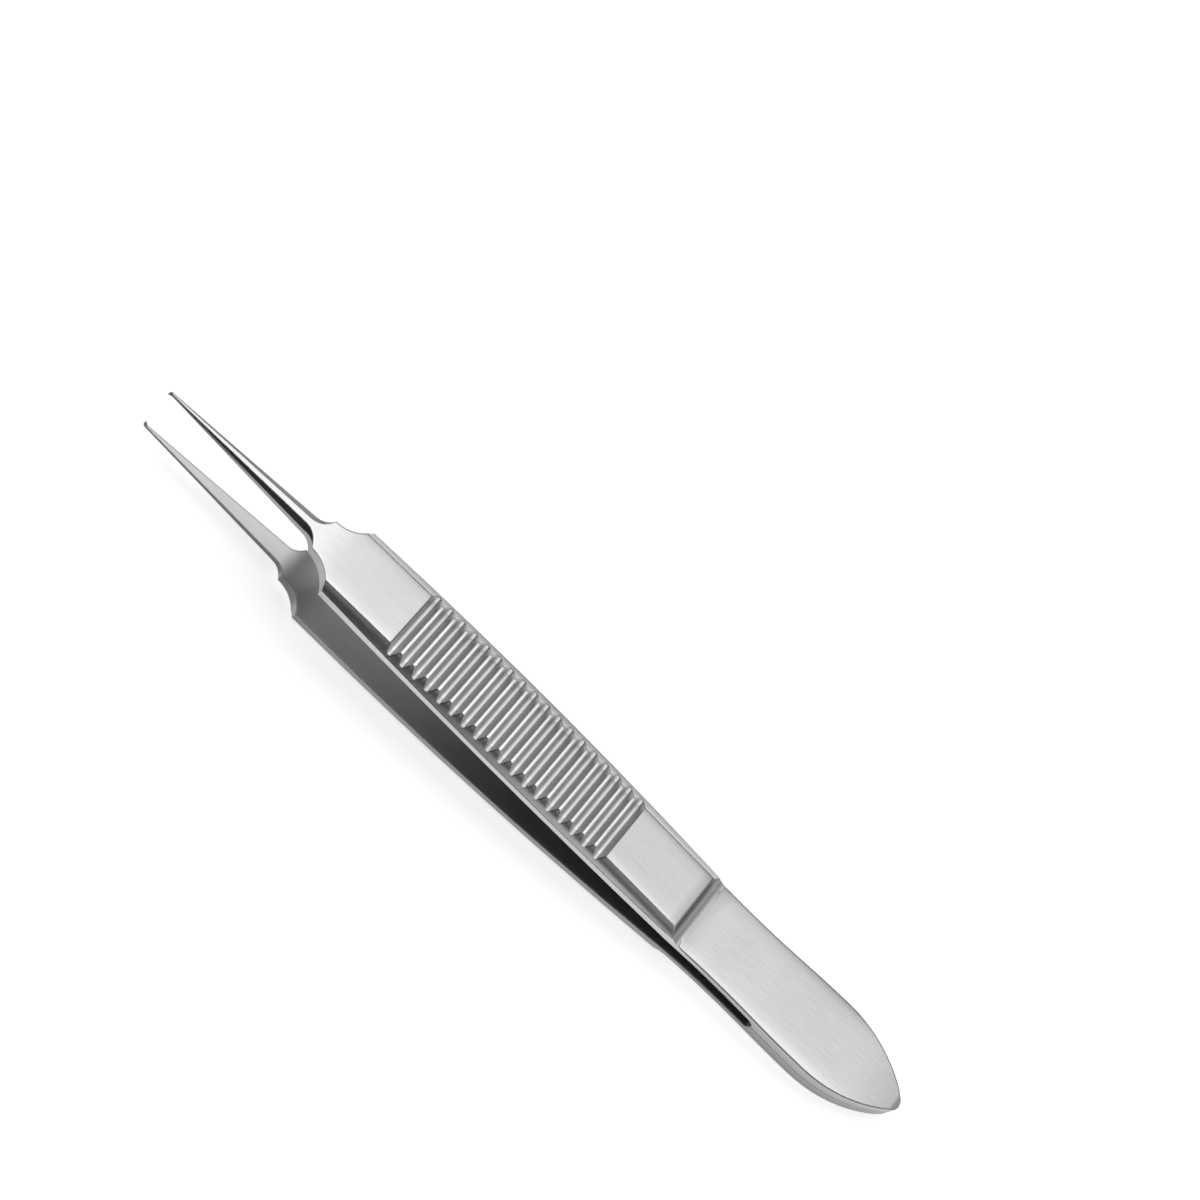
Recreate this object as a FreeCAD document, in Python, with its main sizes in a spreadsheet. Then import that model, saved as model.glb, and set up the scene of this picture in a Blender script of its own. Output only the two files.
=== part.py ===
import FreeCAD, Part
import math
import os
import Sketcher

# Fine thumb forceps: two sprung arms of stainless steel, welded to each other at the tail.
# Each arm has a flat tail, a raised grip with cross grooves, stepped shoulders and a slim shaft
# that ends in small hooked teeth. Millimetres and degrees; +X from the tail to the tips, +Z up.
# An arm is drawn with the weld plane at Z = 0, its outer face up and the end of its tail at X = 0.

MARGIN = 1.0

SIZES = {
    # tail
    "armLength": 108.2,
    "tailHeight": 3.55,
    "endRollLength": 1.7,
    "endRollDrop": 0.4,
    "noseRadius": 1.03,
    "tailFlare": 0.31,
    "tailWidestAt": 11.2,
    "waistDepth": 0.6,
    "waistAt": 25.2,
    "waistRadius": 121.0,
    "edgeRound": 0.12,
    # slot between the arms
    "slotStart": 17.9,
    "slotHeight": 1.8,
    "springAngle": 0.9,
    "springBend": 2.5,
    # grip
    "gripStart": 31.6,
    "gripRise": 1.245,
    "stepRadius": 2.4,
    "gripSlopeAngle": 4.85,
    "crownRadius": 740.0,
    "gripThickness": 1.97,
    "gripFlatWidth": 7.2,
    "gripWidth": 10.0,
    "gripWidestAt": 56.2,
    "coveRadius": 4.5,
    "coveStartAngle": 47.0,
    "coveEndAngle": 24.5,
    # cross grooves
    "grooveCount": 18,
    "groovePitch": 1.79,
    "grooveFront": 74.25,
    "crestFlat": 0.3,
    "valleyRadius": 0.45,
    "flankAngle": 53.0,
    # shoulders
    "shoulderAt": 82.9,
    "scallopRadius": 4.15,
    "neckWidth": 4.12,
    "filletRadius": 1.9,
    # shaft
    "shaftWidth": 2.1,
    "shaftThickness": 1.25,
    "shaftFlatWidth": 0.72,
    "bevelAngle": 32.0,
    "bevelFillet": 2.27,
    "thinningLength": 6.0,
    # tip
    "tipHeight": 5.25,
    "tipWidth": 0.22,
    "tipThickness": 0.35,
    "tipFlatWidth": 0.1,
    "tipRound": 0.5,
    "pairToothHeight": 0.4,
    "singleToothHeight": 0.85,
    "toothLength": 0.55,
    "notchWidth": 0.12,
    "notchDepth": 0.3,
    "toothPointWidth": 0.06,
}


class Size:
    """A length or angle: its number, and the rule that the document keeps for it."""

    def __init__(self, number, rule):
        self.number = number
        self.rule = rule

    def __add__(self, other):
        other = plain(other)
        return Size(self.number + other.number, f"({self.rule} + {other.rule})")

    def __sub__(self, other):
        other = plain(other)
        return Size(self.number - other.number, f"({self.rule} - {other.rule})")

    def __mul__(self, other):
        other = plain(other)
        return Size(self.number * other.number, f"({self.rule} * {other.rule})")

    def __truediv__(self, other):
        other = plain(other)
        return Size(self.number / other.number, f"({self.rule} / {other.rule})")

    def __neg__(self):
        return Size(-self.number, f"(0 - {self.rule})")


def plain(value):
    return value if isinstance(value, Size) else Size(float(value), str(value))


def size(name):
    return Size(float(SIZES[name]), f"Sizes.{name}")


def root(value):
    return Size(math.sqrt(value.number), f"sqrt({value.rule})")


def sine(angle):
    return Size(math.sin(math.radians(angle.number)), f"sin({angle.rule} * 1 deg)")


def cosine(angle):
    return Size(math.cos(math.radians(angle.number)), f"cos({angle.rule} * 1 deg)")


def tangent(angle):
    return sine(angle) / cosine(angle)


def square(value):
    return value * value


def leg(hypotenuse, other):
    """The other leg of a right-angled triangle."""
    return root(square(hypotenuse) - square(other))


def make_sheet(document):
    sheet = document.addObject("Spreadsheet::Sheet", "Sizes")
    for row, (name, number) in enumerate(SIZES.items(), start=1):
        sheet.set(f"A{row}", name)
        sheet.set(f"B{row}", str(number))
        sheet.setAlias(f"B{row}", name)
    document.recompute()
    return sheet


def bind(item, property_name, value):
    item.setExpression(property_name, plain(value).rule)


def origin_plane(body, role):
    return next(item for item in body.Origin.OriginFeatures if item.Role == role)


def edge_between(start, end):
    """A straight or round edge from one corner to the next, as geometry for a sketch."""
    here = FreeCAD.Vector(start[0].number, start[1].number, 0)
    there = FreeCAD.Vector(end[0].number, end[1].number, 0)
    if len(start) == 2:
        return Part.LineSegment(here, there), 1, 2
    turn, radius = start[2], start[3].number
    chord = there - here
    side = FreeCAD.Vector(-chord.y, chord.x, 0).normalize()
    rise = math.sqrt(max(radius ** 2 - (chord.Length / 2) ** 2, 0))
    sign = 1 if turn == "left" else -1
    centre = (here + there) * 0.5 + side * rise * sign
    first, last = (here, there) if turn == "left" else (there, here)
    angles = [math.atan2(point.y - centre.y, point.x - centre.x) for point in (first, last)]
    if angles[1] < angles[0]:
        angles[1] += 2 * math.pi
    circle = Part.Circle(centre, FreeCAD.Vector(0, 0, 1), radius)
    starts, ends = (1, 2) if turn == "left" else (2, 1)
    return Part.ArcOfCircle(circle, *angles), starts, ends


def draw(body, name, role, outlines):
    """A sketch on one of the body's origin planes.

    A corner is (across, up), or (across, up, turn, radius) where a round edge leaves it.
    """
    sketch = body.newObject("Sketcher::SketchObject", name)
    sketch.AttachmentSupport = [(origin_plane(body, role), "")]
    sketch.MapMode = "FlatFace"
    for corners in outlines:
        corners = [(plain(c[0]), plain(c[1])) + tuple(c[2:]) for c in corners]
        edges = []
        for start, end in zip(corners, corners[1:] + corners[:1]):
            shape, starts, ends = edge_between(start, end)
            edges.append((sketch.addGeometry(shape, False), starts, ends))
        for number, (edge, starts, ends) in enumerate(edges):
            before = edges[number - 1]
            sketch.addConstraint(Sketcher.Constraint("Coincident", before[0], before[2], edge, starts))
        for corner, (edge, starts, ends) in zip(corners, edges):
            for kind, value in (("DistanceX", corner[0]), ("DistanceY", corner[1])):
                dimension = Sketcher.Constraint(kind, -1, 1, edge, starts, value.number)
                bind(sketch, f"Constraints[{sketch.addConstraint(dimension)}]", value)
            if len(corner) == 4:
                dimension = Sketcher.Constraint("Radius", edge, corner[3].number)
                bind(sketch, f"Constraints[{sketch.addConstraint(dimension)}]", corner[3])
    return sketch


def shift(sketch, **offsets):
    """Moves a sketch on its plane: x and y along the sketch, z along its normal."""
    for axis, value in offsets.items():
        bind(sketch, f"AttachmentOffset.Base.{axis}", value)


def feature(body, kind, name, profile, **settings):
    item = body.newObject(f"PartDesign::{kind}", name)
    item.Profile = profile
    for setting, value in settings.items():
        if isinstance(value, Size):
            bind(item, setting, value)
        else:
            setattr(item, setting, value)
    body.Document.recompute()
    return item


def mirror(body, name, originals):
    """Repeats cuts on the other side of the arm's upright middle plane."""
    copy = body.newObject("PartDesign::Mirrored", name)
    copy.Originals = originals
    copy.MirrorPlane = (origin_plane(body, "XZ_Plane"), [""])
    body.Tip = copy
    body.Document.recompute()
    return copy


class Tail:
    """The outer face of the tail, which rolls over in a short arc at its end."""

    top = size("tailHeight") / 2
    roll = size("endRollLength")
    roll_end = top - size("endRollDrop")
    roll_radius = (square(roll) + square(size("endRollDrop"))) / (size("endRollDrop") * 2)


class Grip:
    """Lines that several cuts share: the crown is a very shallow arc along the outer face."""

    foot = size("gripStart") - leg(size("stepRadius"), size("stepRadius") - size("gripRise"))
    spring_rise = (foot - size("slotStart")) * tangent(size("springAngle"))
    foot_height = Tail.top + spring_rise
    rear_height = foot_height + size("gripRise")
    centre_along = size("gripStart") + size("crownRadius") * sine(size("gripSlopeAngle"))
    centre_up = rear_height - size("crownRadius") * cosine(size("gripSlopeAngle"))
    inner_radius = size("crownRadius") - size("gripThickness")
    flat_half = size("gripFlatWidth") / 2
    waist_reach = size("gripWidestAt") - size("waistAt")
    bends = (square(waist_reach) / size("waistDepth") + size("waistDepth")) / 2
    side_radius = bends - size("waistRadius")

    @classmethod
    def crown(cls, along):
        return cls.centre_up + leg(size("crownRadius"), along - cls.centre_along)

    @classmethod
    def inner(cls, along):
        return cls.centre_up + leg(cls.inner_radius, along - cls.centre_along)

    @classmethod
    def side(cls, along):
        middle = size("gripWidth") / 2 - cls.side_radius
        return middle + leg(cls.side_radius, along - size("gripWidestAt"))


class Shoulder:
    """The two steps in plan: a scallop from the grip to the neck, then a fillet to the shaft."""

    corner = Grip.side(size("shoulderAt"))
    neck_half = size("neckWidth") / 2
    shaft_half = size("shaftWidth") / 2
    neck_at = size("shoulderAt") + leg(size("scallopRadius"), neck_half + size("scallopRadius") - corner)
    shaft_at = neck_at + leg(size("filletRadius"), size("filletRadius") - neck_half + shaft_half)
    flat_half = size("shaftFlatWidth") / 2
    bevel_at = neck_at + leg(size("bevelFillet"), size("bevelFillet") - neck_half + flat_half)
    bevel_height = Grip.crown(bevel_at)


def side_profile(body, tooth_height):
    """The arm seen from the side: tail, slot, step, crowned grip, shaft and tooth."""
    slot_half = size("slotHeight") / 2
    bend_height = slot_half + Grip.spring_rise
    bend_at = Grip.centre_along - leg(Grip.inner_radius, bend_height - Grip.centre_up)
    bend_slope = (Grip.centre_along - bend_at) / (bend_height - Grip.centre_up)
    bend = size("springBend")
    inner_start = bend_at + bend
    thin_end = Shoulder.bevel_at
    thin_start = thin_end - size("thinningLength")
    thin_top = Shoulder.bevel_height - size("shaftThickness")
    thin_bottom = Grip.inner(thin_start)
    thin_rise = thin_top - thin_bottom
    thin_radius = (square(size("thinningLength")) + square(thin_rise)) / (thin_rise * 4)
    thin_middle = (thin_start + thin_end) / 2
    length = size("armLength")
    tip_inner = size("tipHeight") - size("tipThickness")
    return draw(body, "SideProfile", "XZ_Plane", [[
        (0, 0),
        (0, Tail.roll_end, "right", Tail.roll_radius),
        (Tail.roll, Tail.top),
        (size("slotStart"), Tail.top),
        (Grip.foot, Grip.foot_height, "left", size("stepRadius")),
        (size("gripStart"), Grip.rear_height, "right", size("crownRadius")),
        (Shoulder.bevel_at, Shoulder.bevel_height),
        (length - size("tipRound"), size("tipHeight"), "right", size("tipRound")),
        (length, size("tipHeight") - size("tipRound")),
        (length, tip_inner - tooth_height),
        (length - size("toothLength"), tip_inner),
        (thin_end, thin_top, "left", thin_radius),
        (thin_middle, (thin_top + thin_bottom) / 2, "right", thin_radius),
        (thin_start, thin_bottom, "left", Grip.inner_radius),
        (inner_start, Grip.inner(inner_start), "right", bend * 2 / bend_slope),
        (bend_at - bend, bend_height),
        (size("slotStart") + slot_half, slot_half, "left", slot_half),
        (size("slotStart"), 0),
    ]])


def plan_cut(body):
    """Everything outside the arm's outline in plan, on one side of its middle."""
    length = size("armLength")
    nose = size("noseRadius")
    waist_half = size("gripWidth") / 2 - size("waistDepth")
    tail_half = waist_half + size("tailFlare")
    tail_at = size("tailWidestAt")
    tail_radius = (square(tail_at - nose) + square(tail_half) - square(nose)) / ((tail_half - nose) * 2)
    nose_share = tail_radius / (tail_radius - nose)
    nose_end = tail_at + (nose - tail_at) * nose_share
    nose_side = (tail_radius - tail_half) * (nose_share - 1)
    flare = size("tailFlare")
    taper_length = size("waistAt") - tail_at
    taper_radius = (square(taper_length) + square(flare)) / (flare * 4)
    join = size("waistAt") + Grip.waist_reach * size("waistRadius") / Grip.bends
    beyond = length + MARGIN
    narrowing = (Shoulder.shaft_half - size("tipWidth") / 2) / (length - Shoulder.shaft_at)
    outside = size("gripWidth") / 2 + MARGIN * 2
    return draw(body, "PlanOutside", "XY_Plane", [[
        (beyond, Shoulder.shaft_half - narrowing * (beyond - Shoulder.shaft_at)),
        (Shoulder.shaft_at, Shoulder.shaft_half, "right", size("filletRadius")),
        (Shoulder.neck_at, Shoulder.neck_half, "right", size("scallopRadius")),
        (size("shoulderAt"), Shoulder.corner, "left", Grip.side_radius),
        (join, Grip.side(join), "right", size("waistRadius")),
        (size("waistAt"), waist_half, "right", taper_radius),
        ((size("waistAt") + tail_at) / 2, (tail_half + waist_half) / 2, "left", taper_radius),
        (tail_at, tail_half, "left", tail_radius),
        (nose_end, nose_side, "left", nose),
        (0, 0),
        (-MARGIN, 0),
        (-MARGIN, outside),
        (beyond, outside),
    ]])


def round_tail_edge(body):
    """Breaks the edge around the outer face, from the end of the tail to the step."""
    tolerance = 1e-4
    lowest = Tail.roll_end.number - tolerance
    furthest = Grip.foot.number + tolerance
    tip = body.Tip
    names = []
    for number, edge in enumerate(tip.Shape.Edges, start=1):
        ends = [vertex.Point for vertex in edge.Vertexes]
        runs_along = abs(ends[0].x - ends[-1].x) > tolerance
        if runs_along and all(end.z > lowest and end.x < furthest for end in ends):
            names.append(f"Edge{number}")
    rounding = body.newObject("PartDesign::Fillet", "TailEdge")
    rounding.Base = (tip, names)
    bind(rounding, "Radius", size("edgeRound"))
    body.Document.recompute()
    return rounding


def cut_grooves(body):
    """Cross grooves of the grip, stepped along the crown."""
    half = (size("groovePitch") - size("crestFlat")) / 2
    angle = size("flankAngle")
    valley = size("valleyRadius")
    top = size("crownRadius")
    valley_along = valley * sine(angle)
    valley_up = top - (half - valley_along) * tangent(angle)
    section = draw(body, "GrooveSection", "XZ_Plane", [[
        (-half, top),
        (-valley_along, valley_up, "left", valley),
        (valley_along, valley_up),
        (half, top),
        (half, top + MARGIN),
        (-half, top + MARGIN),
    ]])
    shift(section, x=Grip.centre_along, y=Grip.centre_up)
    first = Grip.centre_along - size("grooveFront") + size("groovePitch") / 2
    section.AttachmentOffset = FreeCAD.Placement(
        FreeCAD.Vector(Grip.centre_along.number, Grip.centre_up.number, 0),
        FreeCAD.Rotation(FreeCAD.Vector(0, 0, 1), 0))
    bind(section, "AttachmentOffset.Rotation.Angle", first / top * 180 / math.pi)
    groove = feature(body, "Pocket", "Groove", section,
                     Type="ThroughAll", SideType="Symmetric")
    row = body.newObject("PartDesign::PolarPattern", "GrooveRow")
    row.Originals = [groove]
    row.Axis = (section, ["N_Axis"])
    bind(row, "Occurrences", size("grooveCount"))
    bind(row, "Angle", size("groovePitch") * (size("grooveCount") - 1) / top * 180 / math.pi)
    body.Tip = row
    body.Document.recompute()
    return row


def cut_coves(body):
    """The hollow bevels along both sides of the grip, turned about the crown's axis."""
    crown = size("crownRadius")
    start, end = size("coveStartAngle"), size("coveEndAngle")
    reach = size("coveRadius") * (sine(start) - sine(end))
    drop = size("coveRadius") * (cosine(end) - cosine(start))
    section = draw(body, "CoveSection", "YZ_Plane", [[
        (Grip.flat_half, crown, "left", size("coveRadius")),
        (Grip.flat_half + reach, crown - drop),
        (Grip.flat_half + reach, crown + MARGIN),
        (Grip.flat_half, crown + MARGIN),
    ]])
    shift(section, y=Grip.centre_up, z=Grip.centre_along)
    sweep = (Grip.centre_along - Grip.foot) / crown * 360 / math.pi
    cove = feature(body, "Groove", "Cove", section,
                   ReferenceAxis=(section, ["H_Axis"]), Angle=sweep, Midplane=True)
    return mirror(body, "CoveBothSides", [cove])


def bevel_shaft(body):
    """Slopes both upper edges of the shaft, starting from nothing at the neck."""
    fall = tangent(size("bevelAngle"))
    radius = size("bevelFillet")
    height = Shoulder.bevel_height
    cone = draw(body, "BevelFilletSection", "XZ_Plane", [[
        (0, height + MARGIN),
        (radius, height + MARGIN),
        (radius, height),
        (0, height - radius * fall),
    ]])
    shift(cone, x=Shoulder.bevel_at, z=-(Shoulder.flat_half + radius))
    fillet = feature(body, "Groove", "BevelFillet", cone,
                     ReferenceAxis=(cone, ["V_Axis"]), Angle=Size(360, "360"))
    ends = []
    beyond = size("armLength") + MARGIN
    run = beyond - Shoulder.bevel_at
    tip_share = run / (size("armLength") - Shoulder.bevel_at)
    tip_height = height + (size("tipHeight") - height) * tip_share
    tip_half = Shoulder.flat_half + (size("tipFlatWidth") / 2 - Shoulder.flat_half) * tip_share
    width = Shoulder.shaft_half + MARGIN
    for name, along, up, half in (
        ("BevelRoot", Shoulder.bevel_at, height, Shoulder.flat_half),
        ("BevelTip", beyond, tip_height, tip_half),
    ):
        end = draw(body, name, "YZ_Plane", [[
            (half, up),
            (half + width, up - width * fall),
            (half + width, up + MARGIN),
            (half, up + MARGIN),
        ]])
        shift(end, z=along)
        ends.append(end)
    slope = feature(body, "SubtractiveLoft", "Bevel", ends[0], Sections=[ends[1]], Ruled=True)
    return mirror(body, "BevelBothSides", [fillet, slope])


def cut_notch(body):
    """Splits the hook at the tip into two teeth."""
    point = size("tipHeight") - size("tipThickness") - size("pairToothHeight")
    half = size("notchWidth") / 2
    depth = size("notchDepth")
    wide = half * (depth + MARGIN) / depth
    section = draw(body, "NotchSection", "YZ_Plane", [[
        (-wide, point - MARGIN),
        (wide, point - MARGIN),
        (0, point + depth),
    ]])
    shift(section, z=size("armLength") - size("toothLength") * 2)
    return feature(body, "Pocket", "Notch", section,
                   Type="Length", Length=size("toothLength") * 3, Reversed=True)


def sharpen_tooth(body):
    """Narrows the hook at the tip to one tooth that fits the notch."""
    base = size("tipHeight") - size("tipThickness")
    point = base - size("singleToothHeight")
    half = size("toothPointWidth") / 2
    outside = size("tipWidth") / 2 + MARGIN
    section = draw(body, "ToothSection", "YZ_Plane", [[
        (half, point - MARGIN),
        (outside, point - MARGIN),
        (outside, base),
        (size("tipWidth") / 2, base),
        (half, point),
    ]])
    shift(section, z=size("armLength") - size("toothLength") * 2)
    side = feature(body, "Pocket", "ToothSide", section,
                   Type="Length", Length=size("toothLength") * 3, Reversed=True)
    return mirror(body, "ToothBothSides", [side])


def rest_pose(turned):
    """How the forceps lies on a table: on the roll of its tail and the crown of the lower grip."""
    radius = Tail.roll_radius.number
    roll_up = Tail.top.number - radius
    down_along = Grip.centre_along.number - Tail.roll.number
    down_up = Grip.centre_up.number - roll_up
    span = math.hypot(down_along, down_up)
    pitch = math.atan2(down_along, -down_up) - math.acos((size("crownRadius").number - radius) / span)
    lift = radius + roll_up * math.cos(pitch) - Tail.roll.number * math.sin(pitch)
    pitched = FreeCAD.Rotation(FreeCAD.Vector(0, 1, 0), -math.degrees(pitch))
    turn = FreeCAD.Rotation(FreeCAD.Vector(1, 0, 0), turned)
    return FreeCAD.Placement(FreeCAD.Vector(-size("armLength").number / 2, 0, lift), pitched * turn)


def make_arm(document, name, label, cut_teeth, tooth_height, turned):
    body = document.addObject("PartDesign::Body", name)
    body.Label = label
    feature(body, "Pad", "Blank", side_profile(body, tooth_height),
            SideType="Symmetric", Length=size("gripWidth") + MARGIN * 2)
    outside = feature(body, "Pocket", "Outline", plan_cut(body),
                      Type="ThroughAll", SideType="Symmetric")
    mirror(body, "OutlineBothSides", [outside])
    round_tail_edge(body)
    cut_grooves(body)
    cut_coves(body)
    bevel_shaft(body)
    cut_teeth(body)
    body.Placement = rest_pose(turned)
    return body


document = FreeCAD.newDocument("ThumbForceps")
make_sheet(document)
arms = [
    make_arm(document, "UpperArm", "upper_arm", cut_notch, size("pairToothHeight"), 0),
    make_arm(document, "LowerArm", "lower_arm", sharpen_tooth, size("singleToothHeight"), 180),
]
document.recompute()

for item in document.Objects:
    if "Invalid" in item.State or "Error" in item.State:
        raise RuntimeError(f"{item.Label} failed: {item.State}")
for arm in arms:
    if arm.Shape.isNull() or not arm.Shape.isValid() or len(arm.Shape.Solids) != 1:
        raise RuntimeError(f"{arm.Label} isn't one valid solid")

os.makedirs("parts", exist_ok=True)
for arm in arms:
    arm.Shape.exportStep(f"parts/{arm.Label}.step")
    print(arm.Label, "volume", round(arm.Shape.Volume, 2))
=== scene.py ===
import math
from types import SimpleNamespace

import bpy
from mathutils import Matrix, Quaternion, Vector

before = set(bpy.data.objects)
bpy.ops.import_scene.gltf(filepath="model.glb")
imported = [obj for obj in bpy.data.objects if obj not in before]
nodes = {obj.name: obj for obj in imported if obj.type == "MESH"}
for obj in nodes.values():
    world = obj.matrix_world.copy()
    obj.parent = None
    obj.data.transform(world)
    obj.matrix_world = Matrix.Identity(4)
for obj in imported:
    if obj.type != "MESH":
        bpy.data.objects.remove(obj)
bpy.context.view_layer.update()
scene = bpy.context.scene
scene.view_settings.view_transform = "Standard"
print("frame loaded:", sorted(nodes))

# the camera looks down on the forceps from its near side, turned so that it lies across the picture
cameraSettings = {
    "place": (0.0236966, 0.1469357, 0.3217069),
    "lookAt": (0.0057581, -0.0194241, 0.006),
    "roll": 47.803,         # degrees about the view axis
    "lens": 99.241,         # mm, on the sensor below
    "sensor": 36.0,
    "clip": (0.01, 20.0),
}


def makeCamera(settings):
    data = bpy.data.cameras.new("viewCamera")
    data.sensor_width = settings["sensor"]
    data.lens = settings["lens"]
    data.clip_start, data.clip_end = settings["clip"]
    camera = bpy.data.objects.new("viewCamera", data)
    place = Vector(settings["place"])
    level = (Vector(settings["lookAt"]) - place).to_track_quat("-Z", "Y")
    camera.rotation_mode = "QUATERNION"
    camera.rotation_quaternion = level @ Quaternion((0, 0, 1), math.radians(settings["roll"]))
    camera.location = place
    scene.collection.objects.link(camera)
    scene.camera = camera


makeCamera(cameraSettings)
print("camera placed")


class NodeTree:
    # adds nodes and joins them, laid out in rows from left to right
    spacing = (180, -40)
    rows = 5

    def __init__(self, tree):
        self.tree = tree
        self.nodes = tree.nodes
        self.count = 0

    def add(self, kind, **settings):
        node = self.nodes.new(kind)
        self.count += 1
        node.location = (self.spacing[0] * self.count, self.spacing[1] * (self.count % self.rows))
        for name, value in settings.items():
            setattr(node, name, value)
        return node

    def feed(self, socket, value):
        if isinstance(value, bpy.types.NodeSocket):
            self.tree.links.new(value, socket)
        elif value is not None:
            socket.default_value = value

    def feedAll(self, sockets, values):
        for socket, value in zip(sockets, values):
            self.feed(socket, value)

    def calc(self, operation, *values):
        node = self.add("ShaderNodeMath", operation=operation)
        self.feedAll(node.inputs, values)
        return node.outputs[0]

    def times(self, first, *others):
        for other in others:
            first = self.calc("MULTIPLY", first, other)
        return first

    def less(self, whole, part):
        return self.calc("SUBTRACT", whole, part)

    def step(self, value, low, high, toLow=0.0, toHigh=1.0):
        node = self.add("ShaderNodeMapRange", interpolation_type="SMOOTHSTEP")
        self.feedAll(node.inputs, (value, low, high, toLow, toHigh))
        return node.outputs[0]

    def between(self, value, low, high, soft):
        return self.times(self.step(value, low - soft, low + soft),
                          self.step(value, high + soft, high - soft))

    def blend(self, share, low, high):
        node = self.add("ShaderNodeMix", data_type="FLOAT")
        self.feedAll((node.inputs[0], node.inputs[2], node.inputs[3]), (share, low, high))
        return node.outputs[0]

    def vector(self, *values):
        node = self.add("ShaderNodeCombineXYZ")
        self.feedAll(node.inputs, values)
        return node.outputs[0]

    def apart(self, value):
        node = self.add("ShaderNodeSeparateXYZ")
        self.feed(node.inputs[0], value)
        return node.outputs[:]

    def noise(self, place, scale, detail, roughness=0.5):
        node = self.add("ShaderNodeTexNoise")
        given = {"Vector": place, "Scale": scale, "Detail": detail, "Roughness": roughness}
        for name, value in given.items():
            self.feed(node.inputs[name], value)
        return node.outputs[0]

    def centred(self, grey):
        # from 0 to 1 becomes from -0.5 to 0.5
        return self.less(grey, 0.5)


# white paper that rises at its rim
floorSettings = {
    "radius": 2.4,
    "curve": 0.6,           # length of the rise, up to the height below
    "rimHeight": 0.45,
    "curveSteps": 12,
    "sides": 96,
    "colour": (0.88, 0.88, 0.88),
    "roughness": 0.9,
    "specular": 0.1,
    "glow": 0.58,           # seen directly, in metal and through glass
}


def makePaper(settings):
    material = bpy.data.materials.new("studioPaper")
    material.use_nodes = True
    kit = NodeTree(material.node_tree)
    shader = kit.nodes["Principled BSDF"]
    shader.inputs["Base Color"].default_value = (*settings["colour"], 1)
    shader.inputs["Roughness"].default_value = settings["roughness"]
    shader.inputs["Specular IOR Level"].default_value = settings["specular"]
    seen = kit.add("ShaderNodeLightPath").outputs
    share = kit.calc("MAXIMUM", seen["Is Camera Ray"], seen["Is Glossy Ray"])
    share = kit.calc("MAXIMUM", share, seen["Is Transmission Ray"])
    shader.inputs["Emission Color"].default_value = (1, 1, 1, 1)
    kit.feed(shader.inputs["Emission Strength"], kit.times(share, settings["glow"]))
    return material


def makeFloor(settings):
    curve, steps, sides = settings["curve"], settings["curveSteps"], settings["sides"]
    flat = settings["radius"] - curve
    turns = [math.pi / 2 * n / steps for n in range(steps + 1)]
    profile = [(flat + curve * math.sin(turn), settings["rimHeight"] * (1 - math.cos(turn)))
               for turn in turns]
    points, faces = [(0.0, 0.0, 0.0)], []
    for away, up in profile:
        for n in range(sides):
            turn = 2 * math.pi * n / sides
            points.append((away * math.cos(turn), away * math.sin(turn), up))
    for n in range(sides):
        faces.append((0, 1 + n, 1 + (n + 1) % sides))
    for ring in range(steps):
        low, high = 1 + ring * sides, 1 + (ring + 1) * sides
        for n in range(sides):
            after = (n + 1) % sides
            faces.append((low + n, high + n, high + after, low + after))
    mesh = bpy.data.meshes.new("studioFloor")
    mesh.from_pydata(points, [], faces)
    for face in mesh.polygons:
        face.use_smooth = True
    mesh.materials.append(makePaper(settings))
    floor = bpy.data.objects.new("studioFloor", mesh)
    scene.collection.objects.link(floor)


makeFloor(floorSettings)

# wide soft boxes overhead and a bright corner
lampSettings = {
    "overhead": {"place": (-0.12, -0.13, 0.55), "size": (0.90, 0.52), "glow": 0.92, "tilt": 0},
    "frontPanel": {"place": (0.08, -0.20, 0.57), "size": (0.46, 0.38), "glow": 0.20, "tilt": 0},
    "nearStrip": {"place": (-0.12, -0.11, 0.56), "size": (0.90, 0.15), "glow": 0.62, "tilt": 0},
    "farPanel": {"place": (-0.12, -0.68, 0.52), "size": (1.20, 0.58), "glow": 0.20, "tilt": 12},
    "cornerPanel": {"place": (-0.29, 0.31, 0.50), "size": (0.25, 0.38), "glow": 1.30, "tilt": 0},
    "nearPanel": {"place": (-0.08, 0.21, 0.50), "size": (0.20, 0.14), "glow": 0.40, "tilt": 0},
}


def makeLamps(settings):
    for name, lamp in settings.items():
        data = bpy.data.lights.new(name, "AREA")
        data.shape = "RECTANGLE"
        data.size, data.size_y = lamp["size"]
        data.energy = lamp["glow"] * math.pi * data.size * data.size_y
        light = bpy.data.objects.new(name, data)
        light.location = lamp["place"]
        light.rotation_euler = (math.radians(lamp["tilt"]), 0, 0)
        light.visible_camera = False
        scene.collection.objects.link(light)


makeLamps(lampSettings)

# walls that darken towards the ceiling, most of all on the camera's side
wallSettings = {
    "farGlow": (0.36, 0.12),        # beyond the forceps, low down and higher up
    "farHeights": (0.1, 0.6),
    "nearGlow": (0.40, 0.035),      # on the other side
    "nearHeights": (0.25, 0.6),
    "nearToFar": (-0.3, 0.3),
    "tailGlow": 0.34,               # added where the tail points
    "tailStart": (-0.42, -0.7),
}


def makeWalls(settings):
    world = bpy.data.worlds.new("studioWorld")
    scene.world = world
    world.use_nodes = True
    kit = NodeTree(world.node_tree)
    along, across, up = kit.apart(kit.add("ShaderNodeTexCoord").outputs["Generated"])
    far = kit.step(up, *settings["farHeights"], *settings["farGlow"])
    near = kit.step(up, *settings["nearHeights"], *settings["nearGlow"])
    glow = kit.blend(kit.step(across, *settings["nearToFar"]), far, near)
    glow = kit.calc("ADD", glow, kit.step(along, *settings["tailStart"], 0.0, settings["tailGlow"]))
    backdrop = kit.nodes["Background"].inputs
    kit.feed(backdrop["Strength"], glow)
    backdrop["Color"].default_value = (1, 1, 1, 1)


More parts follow.
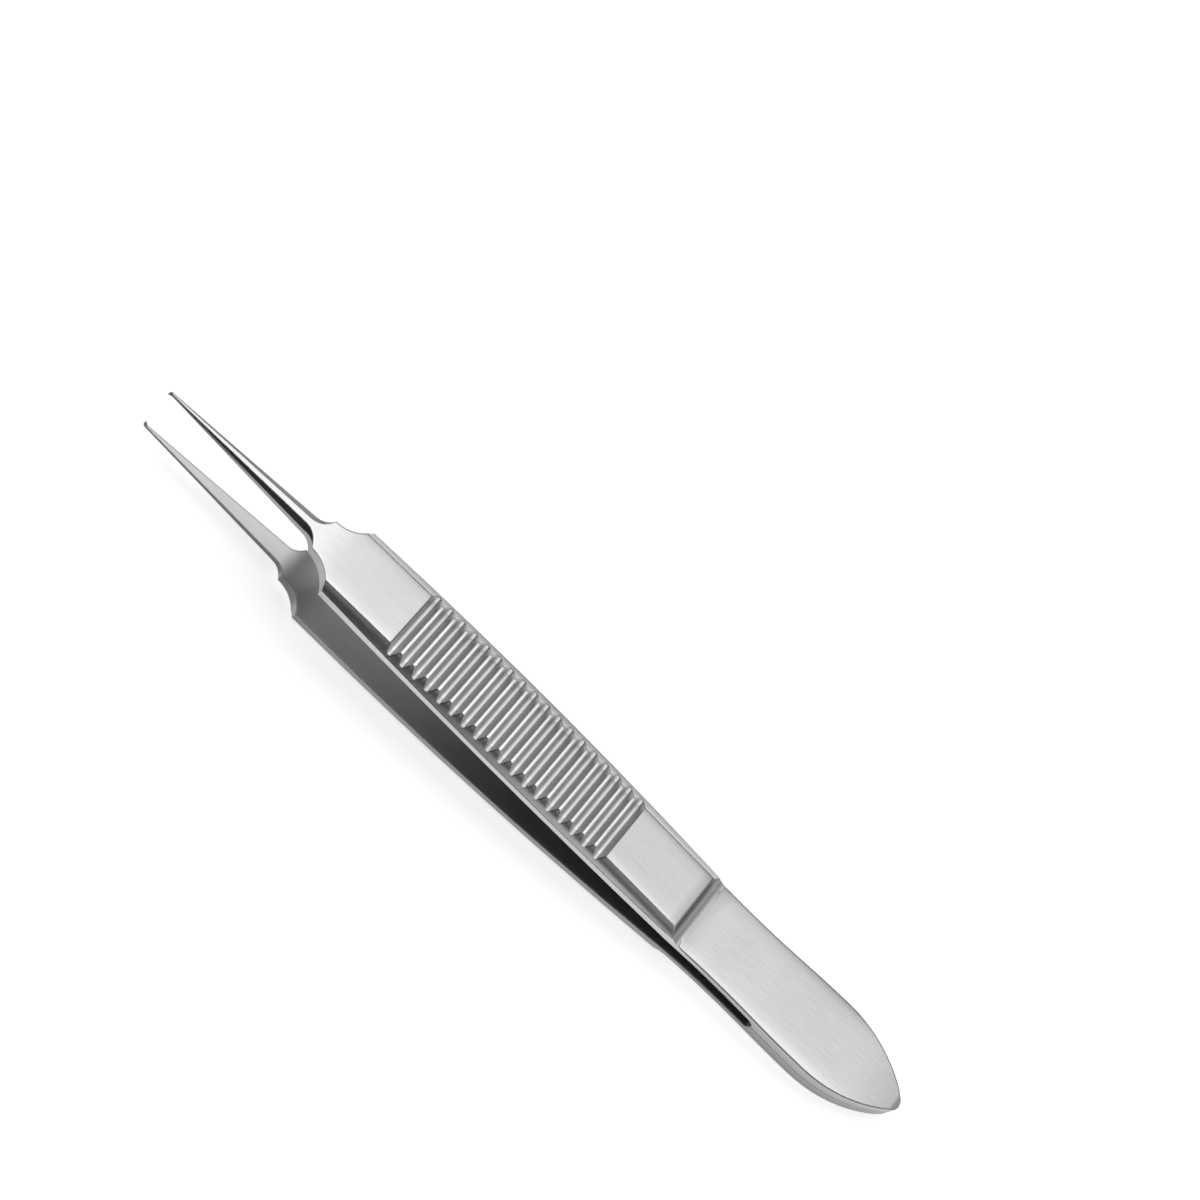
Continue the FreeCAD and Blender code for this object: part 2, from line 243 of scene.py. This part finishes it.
makeWalls(wallSettings)
print("studio built")

# satin steel: painted light and shade in the tone of each face, and how it was ground, in metres
# a part is a stretch along the forceps; a level is 1 on the flats and 0 on the sides
steelSettings = {
    # flat outer faces, and painted shade on the flat of the tail, which darkens towards its end
    "flatTone": 0.60,
    "noseShade": 0.80,
    "nosePart": (-0.0475, -0.0535),
    # grip: painted highlight on the crests, painted shade on the flanks of the grooves
    "crestHighlightTone": 0.80,
    "crestDepth": (0.00026, 0.00008),
    "flankShadeTone": 0.42,
    "flankLevels": (0.62, 0.93),
    "grooves": (-0.0119, 0.0194),
    "grooveSoft": 0.0001,
    "crownRadius": 0.740,
    # step between the tail and the grip: painted shade under its brink and on its face, painted light
    # in the hollow at its foot
    "stepFoot": -0.0247,
    "stepTop": -0.0225,
    "stepSoft": 0.0002,
    "stepReach": 0.0030,
    "stepFaceShadeTone": 0.50,
    "stepFaceLevels": (0.88, 0.995),
    "stepFootLightTone": 0.72,
    "stepFootLevels": (0.90, 0.960, 0.015),
    "brinkShadeTone": 0.16,
    "brinkLine": (-0.0012, -0.0005),
    "brinkFade": (-0.0042, -0.0010),
    "brinkFlat": (0.0013, 0.32),
    "brinkLevels": (0.2, 0.5),
    "brinkSides": (0.40, 0.20),
    # hollow bevels along the grip in painted shade, with a painted highlight at their upper edge
    "bevelShadeTone": 0.45,
    "bevelTopHighlightTone": 0.68,
    "bevelTopLevels": (0.69, 0.77),
    "bevelLevels": (0.22, 0.50),
    "topLevels": (0.90, 0.98),
    "sidewaysSoft": (-0.1, 0.1),
    # shoulders and shaft: painted light on the top of the shaft, painted shade on its bevels and on the
    # sides of the tips
    "frontPart": (0.0225, 0.0335),
    "frontShare": 0.7,
    "shaftPart": (0.0285, 0.0325),
    "shaftLightTone": 0.74,
    "shaftBevelShadeTone": 0.27,
    "tipPart": (0.038, 0.050),
    "tipSideShadeTone": 0.10,
    # side of the tail in painted shade, from its darker foot to its top; heights are above the weld
    "tailPart": (-0.030, -0.023),
    "tailSideShadeTones": (0.23, 0.39),
    "tailSideHeights": (-0.0018, 0.0014),
    "tailSlope": 0.057,
    "weldHeight": 0.00477,
    "weldSoft": (0.0002, 0.0005),
    # painted shade as a dark line along the rims, where the bevels and sides meet the flats
    "rimShadeTone": 0.04,
    "rimLevels": (0.47, 0.975, 0.02),
    # inner faces in painted shade between the arms, at the slot, towards the front, at the neck and
    # along the shaft
    "insideLevels": (-0.3, -0.7),
    "insideShadeTones": (0.24, 0.50),
    "insidePart": (-0.005, 0.024),
    "insideNeckTone": 0.22,
    "insideNeckPart": (0.0265, 0.0315),
    "insideShaftTone": 0.60,
    "insideShaftPart": (0.0320, 0.0345),
    # grinding
    "steepRoughness": 0.34,
    "flatRoughness": 0.24,
    "roughLevels": (0.5, 0.93),
    "insideRoughness": 0.40,
    "edgeRoughness": 0.12,
    "edgeRadius": 0.00022,
    "edgeSamples": 6,
    "edgeTurn": (0.998, 0.965),
    "grainWidth": 0.00008,
    "grainLength": 0.0024,
    "grainDepth": 0.0000006,
    "grainContrast": 0.13,
    "steepGrain": 0.4,          # share of the contrast that is left on steep faces
    "grainLevels": (0.93, 0.98),
    "grainRoughness": 0.6,
    "crossWidth": 1.6,
    "crossShare": 0.8,
    "lengthSeed": 1.0,
    "crossSeed": 3.0,
    "cloudSize": 0.009,
    "cloudDetail": 2.0,
    "cloudContrast": 0.18,
    # the flats fall away near their rims: half width and slope there, on the tail and on the grip
    "tailHalf": 0.0047,
    "tailFall": 0.125,
    "gripHalf": 0.0036,
    "gripFall": 0.090,
    "fallPower": 6.0,
    "fallSoft": 0.0004,
}

# outward is 1 where the outer face looks up; the crown is where its circle has its middle; the side
# tones are painted light and shade, darker on the lower arm
armSettings = {
    "upper_arm": {"outward": 1.0, "seed": 0.0, "crown": (0.081709, -0.725915),
                  "gripSidePaintedLight": 0.56, "shaftSidePaintedLight": 0.32},
    "lower_arm": {"outward": -1.0, "seed": 20.0, "crown": (-0.001885, 0.740),
                  "gripSidePaintedLight": 0.28, "shaftSidePaintedLight": 0.11},
}


def makeGroup(name, inputs, outputs):
    # its sockets are plain numbers, apart from these
    kinds = {"Normal": "NodeSocketVector", "Colour": "NodeSocketColor"}
    tree = bpy.data.node_groups.new(name, "ShaderNodeTree")
    for way, socketNames in (("INPUT", inputs), ("OUTPUT", outputs)):
        for socketName in socketNames:
            kind = kinds.get(socketName, "NodeSocketFloat")
            tree.interface.new_socket(socketName, in_out=way, socket_type=kind)
    kit = NodeTree(tree)
    return tree, kit, kit.add("NodeGroupInput").outputs, kit.add("NodeGroupOutput").inputs


# grinding lines: noise drawn out along one way, fine and coarse
grainSettings = {
    "detail": 2.0,
    "roughness": 0.6,
    "range": (0.3, 0.7),        # of the noise, taken as 0 to 1
    "coarseSize": 3.5,
    "coarseShare": 0.35,
    "coarseSeed": 5.0,
}


def makeGrainGroup(settings):
    tree, kit, given, result = makeGroup(
        "grindingGrain", ("Along", "Across", "Length", "Width", "Seed"), ("Grain",))

    def drawnOut(larger, seed):
        place = kit.vector(kit.calc("DIVIDE", given["Along"], kit.times(given["Length"], larger)),
                           kit.calc("DIVIDE", given["Across"], kit.times(given["Width"], larger)),
                           kit.calc("ADD", given["Seed"], seed))
        noise = kit.noise(place, 1.0, settings["detail"], settings["roughness"])
        return kit.step(noise, *settings["range"])

    fine, coarse = drawnOut(1.0, 0.0), drawnOut(settings["coarseSize"], settings["coarseSeed"])
    kit.feed(result["Grain"], kit.blend(settings["coarseShare"], fine, coarse))
    return tree


def readPlace(kit, given, settings):
    # where a point lies on its arm, and how its face is turned
    at = SimpleNamespace()
    at.place = kit.add("ShaderNodeTexCoord").outputs["Object"]
    at.along, at.across, up = kit.apart(at.place)
    lengthways, side, upright = kit.apart(given["Normal"])
    outward = kit.times(upright, given["Outward"])
    at.level = kit.calc("ABSOLUTE", outward)
    at.side, lengthways = kit.calc("ABSOLUTE", side), kit.calc("ABSOLUTE", lengthways)
    at.sideways = kit.step(kit.less(at.side, lengthways), *settings["sidewaysSoft"])

    # no inner face and no rim shows at the weld
    height = kit.calc("MULTIPLY_ADD", at.along, -settings["tailSlope"], up)
    at.overWeld = kit.less(height, settings["weldHeight"])
    offWeld = kit.step(kit.calc("ABSOLUTE", at.overWeld), *settings["weldSoft"])
    at.inside = kit.times(kit.step(outward, *settings["insideLevels"]), offWeld)
    at.edge = kit.times(given["Edge"], offWeld)

    # depth under the crown tells a crest from a valley, and the grinding of the sides follows it
    aside = kit.calc("POWER", kit.less(at.along, given["Crown Along"]), 2.0)
    below = kit.calc("POWER", kit.less(up, given["Crown Up"]), 2.0)
    at.depth = kit.less(settings["crownRadius"], kit.calc("SQRT", kit.calc("ADD", aside, below)))

    foot, brink, soft = settings["stepFoot"], settings["stepTop"], settings["stepSoft"]
    at.grooved = kit.between(at.along, *settings["grooves"], settings["grooveSoft"])
    at.beforeBrink = kit.step(at.along, brink + soft, brink - soft)
    at.step = kit.times(kit.step(at.along, foot - settings["stepReach"], foot), at.beforeBrink)
    at.grip = kit.step(at.along, foot - soft, foot + soft)
    at.front = kit.step(at.along, *settings["frontPart"])
    at.shaft = kit.step(at.along, *settings["shaftPart"])
    at.sideLine = kit.blend(at.grip, height, at.depth)
    return at


def grindingLines(kit, given, at, settings, grainTree):
    # the grinding runs lengthwise, but crosswise at the step and in the grooves
    def lines(along, across, width, seed):
        group = kit.add("ShaderNodeGroup", node_tree=grainTree)
        values = {"Along": along, "Across": across, "Length": settings["grainLength"],
                  "Width": width, "Seed": kit.calc("ADD", given["Seed"], seed)}
        for name, value in values.items():
            kit.feed(group.inputs[name], value)
        return group.outputs["Grain"]

    width = settings["grainWidth"]
    lengthwise = lines(at.along, kit.blend(at.sideways, at.across, at.sideLine), width,
                       settings["lengthSeed"])
    crosswise = lines(at.across, at.along, width * settings["crossWidth"], settings["crossSeed"])
    crossing = kit.times(kit.calc("MAXIMUM", at.step, at.grooved),
                         kit.less(settings["crossShare"], at.inside))
    return kit.centred(kit.blend(kit.calc("MAXIMUM", crossing, 0.0), lengthwise, crosswise))


def outerPaintedLight(kit, given, at, settings):
    flatTone = settings["flatTone"]
    # painted shade: the flat of the tail darkens towards its end
    nose = kit.step(at.along, *settings["nosePart"], flatTone, flatTone * settings["noseShade"])
    # painted highlight along the crests of the grooves
    crest = kit.times(kit.step(at.depth, *settings["crestDepth"]), at.grooved)
    top = kit.blend(crest, nose, settings["crestHighlightTone"])
    # painted light on the top of the shaft
    top = kit.blend(at.shaft, top, settings["shaftLightTone"])

    # faces that turn lengthways, in painted shade: flanks of the grooves, the step and the shoulders
    flank = kit.blend(at.step, settings["flankShadeTone"], settings["stepFaceShadeTone"])
    flank = kit.blend(kit.times(at.front, settings["frontShare"]), flank, given["Shaft Side Painted Light"])
    levels = [kit.blend(at.step, plain, stepped)
              for plain, stepped in zip(settings["flankLevels"], settings["stepFaceLevels"])]
    turned = kit.blend(kit.step(at.level, *levels), flank, top)
    # painted light in the hollow at the foot of the step
    hollow = kit.times(at.step, kit.between(at.level, *settings["stepFootLevels"]))
    turned = kit.blend(hollow, turned, settings["stepFootLightTone"])

    # faces that turn sideways, in painted light and shade: from the side over the bevel to the flat
    # painted shade on the side of the tail, darker at its foot
    tail = kit.step(at.overWeld, *settings["tailSideHeights"], *settings["tailSideShadeTones"])
    # painted light and shade on the sides of the grip and shaft, set for each arm
    face = kit.blend(kit.step(at.along, *settings["tailPart"]), tail, given["Grip Side Painted Light"])
    face = kit.blend(at.front, face, given["Shaft Side Painted Light"])
    # painted shade on the sides of the tips
    face = kit.blend(kit.step(at.along, *settings["tipPart"]), face, settings["tipSideShadeTone"])
    # painted shade on the bevels, with a painted highlight at their upper edge
    bevel = kit.step(at.level, *settings["bevelTopLevels"], settings["bevelTopHighlightTone"],
                     settings["bevelShadeTone"])
    bevel = kit.blend(at.grip, settings["rimShadeTone"], bevel)
    # painted shade on the bevels of the shaft
    bevel = kit.blend(at.shaft, bevel, settings["shaftBevelShadeTone"])
    rolled = kit.blend(kit.step(at.level, *settings["bevelLevels"]), face, bevel)
    rolled = kit.blend(kit.step(at.level, *settings["topLevels"]), rolled, top)
    tone = kit.blend(at.sideways, turned, rolled)

    # painted dark line on the rims, except at the step and across the grooves
    rim = kit.times(at.edge, kit.between(at.level, *settings["rimLevels"]),
                    kit.calc("MAXIMUM", at.sideways, kit.less(1.0, at.grooved)),
                    kit.less(1.0, at.step))
    tone = kit.blend(rim, tone, settings["rimShadeTone"])

    # the brink of the step: painted shade as a dark line, and a fade on both sides of it
    brink = settings["stepTop"]
    lineStart, lineEnd = settings["brinkLine"]
    fadeStart, fadeEnd = settings["brinkFade"]
    flatFade, flatShare = settings["brinkFlat"]
    line = kit.times(kit.step(at.along, brink + lineStart, brink + lineEnd), at.beforeBrink)
    fade = kit.times(kit.step(at.along, brink + fadeStart, brink + fadeEnd),
                     kit.step(at.along, brink + flatFade, brink, 0.0, flatShare))
    dark = kit.times(kit.calc("MAXIMUM", fade, line), kit.step(at.side, *settings["brinkSides"]),
                     kit.step(at.level, *settings["brinkLevels"]))
    return kit.blend(dark, tone, settings["brinkShadeTone"])


def innerPaintedShade(kit, at, settings):
    # painted shade between the arms, darkest at the slot and at the neck
    tone = kit.step(at.along, *settings["insidePart"], *settings["insideShadeTones"])
    for part in ("insideNeck", "insideShaft"):
        tone = kit.blend(kit.step(at.along, *settings[part + "Part"]), tone, settings[part + "Tone"])
    return tone


def fallAtRims(kit, at, settings):
    # height of the flats, which drops more and more towards their rims
    foot, power = settings["stepFoot"], settings["fallPower"]
    change = (foot, foot + settings["fallSoft"])
    half = kit.step(at.along, *change, settings["tailHalf"], settings["gripHalf"])
    drop = kit.step(at.along, *change, -settings["tailHalf"] * settings["tailFall"] / power,
                    -settings["gripHalf"] * settings["gripFall"] / power)
    spread = kit.calc("MINIMUM", kit.calc("DIVIDE", kit.calc("ABSOLUTE", at.across), half), 1.0)
    return kit.times(kit.calc("POWER", spread, power), drop, kit.less(1.0, at.inside))


def makeFinishAndPaintedLightGroup(settings, grainTree):
    # tone with painted light and shade, roughness and height of ground steel at each point of an arm
    tree, kit, given, result = makeGroup(
        "satinFinishAndPaintedLight",
        ("Normal", "Edge", "Outward", "Seed", "Grip Side Painted Light", "Shaft Side Painted Light", "Crown Along", "Crown Up"),
        ("Colour", "Roughness", "Height"))
    at = readPlace(kit, given, settings)
    lines = grindingLines(kit, given, at, settings, grainTree)
    cloud = kit.centred(kit.noise(at.place, 1 / settings["cloudSize"], settings["cloudDetail"]))

    # outer faces take painted light and shade by how they turn, inner faces take painted shade
    tone = kit.blend(at.inside, outerPaintedLight(kit, given, at, settings), innerPaintedShade(kit, at, settings))
    contrast = settings["grainContrast"]
    contrast = kit.step(at.level, *settings["grainLevels"], contrast * settings["steepGrain"], contrast)
    shade = kit.calc("MULTIPLY_ADD", lines, contrast, 1.0)
    shade = kit.calc("MULTIPLY_ADD", cloud, settings["cloudContrast"], shade)
    tone = kit.times(tone, shade)
    kit.feed(result["Colour"], kit.vector(tone, tone, tone))

    rough = kit.step(at.level, *settings["roughLevels"])
    rough = kit.blend(rough, settings["steepRoughness"], settings["flatRoughness"])
    rough = kit.blend(at.inside, rough, settings["insideRoughness"])
    rough = kit.calc("MULTIPLY_ADD", lines, kit.times(contrast, settings["grainRoughness"]), rough)
    kit.feed(result["Roughness"], kit.blend(at.edge, rough, settings["edgeRoughness"]))

    grainDepth = kit.step(at.level, *settings["grainLevels"], 0.0, settings["grainDepth"])
    fall = fallAtRims(kit, at, settings)
    kit.feed(result["Height"], kit.calc("MULTIPLY_ADD", lines, grainDepth, fall))
    return tree


def makeSteel(name, arm, settings, finishAndPaintedLightTree):
    material = bpy.data.materials.new(name)
    material.use_nodes = True
    kit = NodeTree(material.node_tree)
    shader = kit.nodes["Principled BSDF"]
    shader.inputs["Metallic"].default_value = 1.0

    # edges rounded in the normal alone, and how far the normal turns there
    rounded = kit.add("ShaderNodeBevel", samples=settings["edgeSamples"])
    rounded.inputs["Radius"].default_value = settings["edgeRadius"]
    alike = kit.add("ShaderNodeVectorMath", operation="DOT_PRODUCT")
    kit.feed(alike.inputs[0], rounded.outputs[0])
    kit.feed(alike.inputs[1], kit.add("ShaderNodeNewGeometry").outputs["Normal"])
    edge = kit.step(alike.outputs["Value"], *settings["edgeTurn"])

    finishWithPaintedLight = kit.add("ShaderNodeGroup", node_tree=finishAndPaintedLightTree)
    given = {"Normal": rounded.outputs[0], "Edge": edge, "Outward": arm["outward"],
             "Seed": arm["seed"], "Grip Side Painted Light": arm["gripSidePaintedLight"], "Shaft Side Painted Light": arm["shaftSidePaintedLight"],
             "Crown Along": arm["crown"][0], "Crown Up": arm["crown"][1]}
    for socketName, value in given.items():
        kit.feed(finishWithPaintedLight.inputs[socketName], value)
    kit.feed(shader.inputs["Base Color"], finishWithPaintedLight.outputs["Colour"])
    kit.feed(shader.inputs["Roughness"], finishWithPaintedLight.outputs["Roughness"])
    bump = kit.add("ShaderNodeBump")
    bump.inputs["Distance"].default_value = 1.0
    kit.feed(bump.inputs["Height"], finishWithPaintedLight.outputs["Height"])
    kit.feed(bump.inputs["Normal"], rounded.outputs[0])
    kit.feed(shader.inputs["Normal"], bump.outputs[0])
    return material


finishAndPaintedLightTree = makeFinishAndPaintedLightGroup(steelSettings, makeGrainGroup(grainSettings))
for nodeName, arm in armSettings.items():
    steel = makeSteel(nodeName + "Steel", arm, steelSettings, finishAndPaintedLightTree)
    for slot in nodes[nodeName].material_slots:
        slot.material = steel
print("steel applied")
